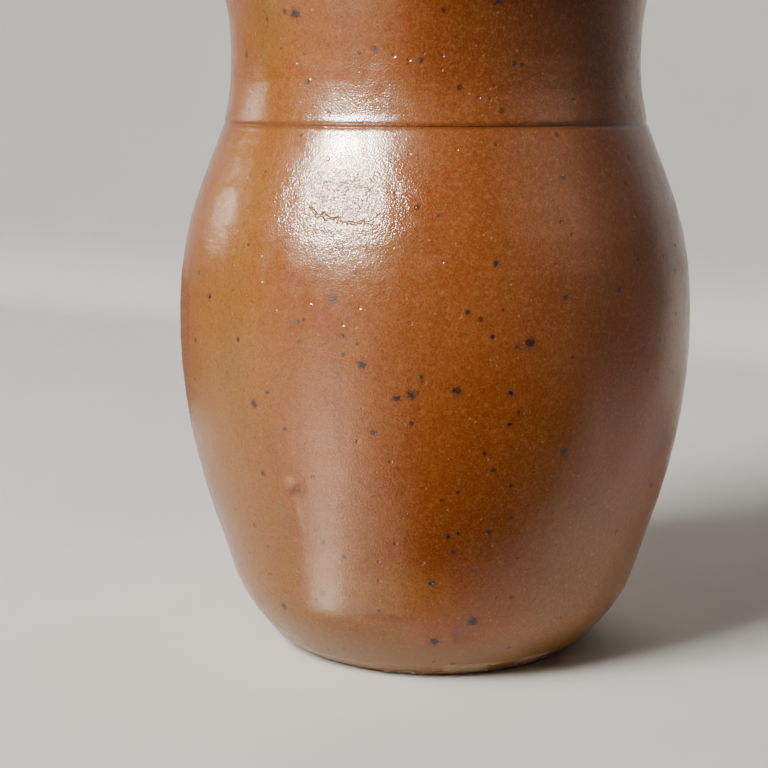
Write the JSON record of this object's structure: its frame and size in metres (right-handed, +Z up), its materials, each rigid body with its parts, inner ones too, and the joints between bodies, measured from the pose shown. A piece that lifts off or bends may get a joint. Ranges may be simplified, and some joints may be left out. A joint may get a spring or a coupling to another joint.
{
  "type": "stoneware pottery vase",
  "caption": "Wheel-thrown stoneware vase with a round belly, an incised shoulder groove, a wide flared neck and a speckled brown glaze.",
  "frame": {"origin": "centre of the resting ring, on the surface the vase stands on", "axes": "+Z up along the axis of the pot, +Y away from the side that is seen, +X to its right"},
  "size_m": [0.16, 0.16, 0.226],
  "materials": {
    "stoneware_clay": "bare fired stoneware, matt, buff to grey-brown",
    "clay_slip": "fired joining slip, dark brown",
    "outer_glaze": "glossy orange-brown glaze with orange-peel texture and iron specks",
    "liner_glaze": "glossy brown liner glaze over throwing rings",
    "kiln_grit": "rough pale grains fused to the foot"
  },
  "bodies": {
    "root": {"base_slab": "stoneware_clay", "base_joint_slip": "clay_slip", "belly_wall": "stoneware_clay", "neck_joint_slip": "clay_slip", "neck_wall": "stoneware_clay", "rim_coil": "stoneware_clay", "belly_glaze": "outer_glaze", "neck_glaze": "outer_glaze", "inner_glaze": "liner_glaze", "kiln_grit": "kiln_grit"}
  },
  "joints": []
}
